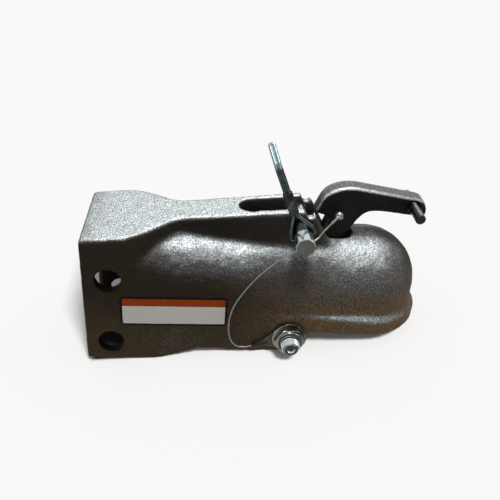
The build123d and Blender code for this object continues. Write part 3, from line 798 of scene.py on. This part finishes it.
class COUPLING_OT_pivot(bpy.types.Operator):
    """Makes the lock nut's ring and the bolt's thread, and plates the pivot hardware"""

    bl_idname = "coupling.pivot"
    bl_label = "Pivot hardware"

    def execute(self, context):
        look = context.scene.coupling_look
        plate = zinc_finish(look, "zinc_plate", look.zinc_nut, look.zinc_nut_shade, rough=0.25, rubbed=0.6)
        for node in ("pivot_washer_near", "pivot_washer_far", "pivot_spacer_near", "pivot_spacer_far"):
            plated(node, "housing", "zinc", plate)
        self.lock_nut(look, plate)
        bright = zinc_finish(look, "zinc_bolt", look.zinc, look.zinc_shade, rough=0.22, end_face=1.0)
        self.threaded_bolt(look, bright)
        return {"FINISHED"}

    def lock_nut(self, look, plate):
        """Sinks a nylon ring into the collar's end face."""
        nut = copy_of("pivot_nut", "pivot_nut_plated")
        round_edges(nut, 0.25 * MM)
        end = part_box("pivot_nut")[0][1]
        dress(nut, "housing", "zinc", "pivot_nut", plate, nylon_finish(look))
        for face in nut.data.polygons:
            face.select = face.normal.y < -0.99 and abs(face.center.y - end) < 0.05 * MM
        pick(nut)
        bpy.ops.object.mode_set(mode="EDIT")
        bpy.ops.mesh.select_mode(type="FACE")
        bpy.ops.mesh.inset(thickness=0.2 * MM, depth=-0.45 * MM)
        nut.active_material_index = 1
        bpy.ops.object.material_slot_assign()
        deselect()

    def threaded_bolt(self, look, plate):
        """Cuts the bolt's near end down to the thread's root and winds the thread round it."""
        bolt = copy_of("pivot_bolt", "pivot_bolt_plated")
        nut_low, nut_high = (Vector(corner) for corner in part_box("pivot_nut"))
        axis = (nut_low + nut_high) / 2
        inside_nut = 1.0 * MM
        step = 0.1 * MM
        start = nut_low.y + inside_nut
        edit(bolt)
        for place in (start, start - step):
            bpy.ops.mesh.select_all(action="SELECT")
            bpy.ops.mesh.bisect(plane_co=(axis.x, place, axis.z), plane_no=(0, 1, 0))
        deselect()
        for vertex in bolt.data.vertices:
            vertex.select = vertex.co.y < start - step / 2
        pick(bolt)
        bpy.ops.object.mode_set(mode="EDIT")
        root = 1 - 2 * look.thread_depth / look.bolt_diameter
        bpy.ops.transform.resize(value=(root, 1, root), center_override=axis)
        deselect()
        round_edges(bolt, 0.15 * MM)
        dress(bolt, "housing", "zinc", "pivot_bolt", plate)
        sunk = 0.05 * MM
        outer = look.bolt_diameter / 2
        inner = outer - look.thread_depth - sunk
        pitch = look.thread_pitch
        profile = ((inner, 0), (outer, -0.45 * pitch), (outer, -0.55 * pitch), (inner, -pitch))
        mesh = bpy.data.meshes.new("bolt_thread")
        points = [(axis.x + reach, start + rise, axis.z) for reach, rise in profile]
        mesh.from_pydata(points, [(0, 1), (1, 2), (2, 3)], [])
        thread = new_piece("bolt_thread", mesh)
        # The winding turns about the object's own origin, so the mesh goes there and back
        thread.data.transform(Matrix.Translation(-axis))
        apply_modifier(
            thread,
            "winding",
            "SCREW",
            axis="Y",
            angle=2 * math.pi,
            screw_offset=-pitch,
            iterations=3,
            steps=48,
            render_steps=48,
            use_merge_vertices=True,
            merge_threshold=0.01 * MM,
            use_smooth_shade=True,
        )
        thread.data.transform(Matrix.Translation(axis))
        face_outward(thread)
        dress(thread, "housing", "zinc", None, plate)


class COUPLING_OT_lanyard(bpy.types.Operator):
    """Lays the lanyard wire from the crimp through the pin to its ball"""

    bl_idname = "coupling.lanyard"
    bl_label = "Lanyard"

    def execute(self, context):
        look = context.scene.coupling_look
        tab = zinc_finish(look, "zinc_tab", look.zinc_tab, look.zinc_sleeve_shade, rough=0.36, rubbed=0.8)
        plated("lanyard_tab", "housing", "zinc", tab)
        plated("lanyard_crimp", "housing", "black_steel", black_finish(look))
        swage = zinc_finish(look, "zinc_ball", look.zinc_ball, look.wire_dark, rough=0.4)
        ball = drawn("lanyard_ball", "safety_pin", "zinc", swage, look.wire_grid)
        path = route_points("lanyard_route", LANYARD_ROUTE)
        wire = laid_wire("lanyard_wire", path, look.wire_diameter / 2, strands=6, lay=9 * MM)
        wire.data.materials.append(wire_finish(look))
        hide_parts("lanyard_cable", "lanyard_end")
        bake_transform(wire)
        return {"FINISHED"}


class COUPLING_OT_label(bpy.types.Operator):
    """Sticks the blank label on the near wall"""

    bl_idname = "coupling.label"
    bl_label = "Blank label"

    def execute(self, context):
        look = context.scene.coupling_look
        deselect()
        bpy.ops.mesh.primitive_plane_add(size=2, location=LABEL_MIDDLE, rotation=(math.pi / 2, 0, 0))
        film = context.object
        film.name = "blank_label"
        film.scale = (LABEL_HALF.x, LABEL_HALF.z, 1)
        bpy.ops.object.transform_apply(location=True, rotation=True, scale=True)
        edit(film)
        bpy.ops.mesh.bevel(offset=look.label_round, segments=6, affect="VERTICES")
        cell = 2.5 * MM
        for direction in (Vector((1, 0, 0)), Vector((0, 0, 1))):
            reach = direction.dot(LABEL_HALF)
            cuts = int(2 * reach / cell)
            for cut in range(1, cuts):
                spot = LABEL_MIDDLE + direction * (2 * reach * cut / cuts - reach)
                bpy.ops.mesh.select_all(action="SELECT")
                bpy.ops.mesh.bisect(plane_co=spot, plane_no=direction)
        deselect()
        apply_modifier(
            film,
            "lie on wall",
            "SHRINKWRAP",
            target=bpy.data.objects["housing_casting"],
            wrap_method="PROJECT",
            use_project_y=True,
            use_negative_direction=True,
            use_positive_direction=True,
            offset=0.12 * MM,
        )
        apply_modifier(film, "film", "SOLIDIFY", thickness=0.2 * MM, offset=1)
        face_outward(film)
        dress(film, "housing", None, None, label_finish(look))
        return {"FINISHED"}


class COUPLING_OT_studio(bpy.types.Operator):
    """Sets the pale floor, the soft lights and the camera"""

    bl_idname = "coupling.studio"
    bl_label = "Studio"

    def execute(self, context):
        look = context.scene.coupling_look
        context.scene.view_settings.view_transform = "Standard"
        floor = self.lay_floor(context, look)
        context.scene.world = bpy.data.worlds.new("soft_room")
        room_light(context.scene.world, look.room)
        self.light_floor(context, look, floor)
        self.light_part(context, look, floor)
        self.set_camera(context, look)
        return {"FINISHED"}

    def lay_floor(self, context, look):
        deselect()
        tilt = math.atan2(FLOOR_RISE, FLOOR_RUN)
        bpy.ops.mesh.primitive_plane_add(size=6, location=FLOOR_SPOT, rotation=(0, -tilt, 0))
        floor = context.object
        floor.name = "floor"
        bpy.ops.object.transform_apply(location=True, rotation=True, scale=True)
        floor.data.materials.append(floor_finish(look))
        return floor

    def light_floor(self, context, look, floor):
        """A sun that falls on the floor alone."""
        ground = bpy.data.collections.new("ground")
        ground.objects.link(floor)
        bpy.ops.object.light_add(type="SUN", rotation=SUN_AHEAD.to_track_quat("-Z", "Y").to_euler())
        sun = context.object
        sun.name = "floor_sun"
        sun.data.energy = look.floor_sun
        sun.data.angle = math.radians(12)
        sun.light_linking.receiver_collection = ground

    def light_part(self, context, look, floor):
        """Lamps on all but the floor, each with the watts of the setting that bears its name."""
        above_ground = bpy.data.collections.new("above_ground")
        above_ground.objects.link(floor)
        above_ground.collection_objects[0].light_linking.link_state = "EXCLUDE"
        for name, (spot, size) in LAMPS.items():
            bpy.ops.object.light_add(type="AREA", location=spot)
            lamp = context.object
            lamp.name = name
            lamp.data.size = size
            lamp.data.energy = getattr(look, name)
            lamp.light_linking.receiver_collection = above_ground
            lamp.rotation_euler = (LAMP_AIM - spot).to_track_quat("-Z", "Y").to_euler()

    def set_camera(self, context, look):
        bpy.ops.object.camera_add()
        camera = context.object
        up = CAMERA_RIGHT.cross(CAMERA_AHEAD)
        turn = Matrix((CAMERA_RIGHT, up, -CAMERA_AHEAD)).transposed()
        camera.matrix_world = Matrix.Translation(CAMERA_SPOT) @ turn.to_4x4()
        camera.data.sensor_fit = "HORIZONTAL"
        camera.data.sensor_width = 36
        camera.data.lens = look.lens
        context.scene.camera = camera


class COUPLING_PT_panel(bpy.types.Panel):
    """Lists the steps and the look"""

    bl_idname = "COUPLING_PT_panel"
    bl_label = "Coupling head"
    bl_space_type = "VIEW_3D"
    bl_region_type = "UI"
    bl_category = "Coupling"

    def draw(self, context):
        for step in STEPS:
            self.layout.operator(step.bl_idname)
        for name in CouplingLook.__annotations__:
            self.layout.prop(context.scene.coupling_look, name)


STEPS = (
    COUPLING_OT_studio,
    COUPLING_OT_lanyard,
    COUPLING_OT_housing,
    COUPLING_OT_latch,
    COUPLING_OT_pin,
    COUPLING_OT_pivot,
    COUPLING_OT_label,
)
CLASSES = (CouplingLook, *STEPS, COUPLING_PT_panel)


def register():
    for item in CLASSES:
        bpy.utils.register_class(item)
    bpy.types.Scene.coupling_look = bpy.props.PointerProperty(type=CouplingLook)


def unregister():
    del bpy.types.Scene.coupling_look
    for item in reversed(CLASSES):
        bpy.utils.unregister_class(item)


def main():
    register()
    bpy.ops.coupling.studio()
    bpy.ops.coupling.lanyard()
    bpy.ops.coupling.housing()
    bpy.ops.coupling.latch()
    bpy.ops.coupling.pin()
    bpy.ops.coupling.pivot()
    bpy.ops.coupling.label()


if __name__ == "__main__":
    main()
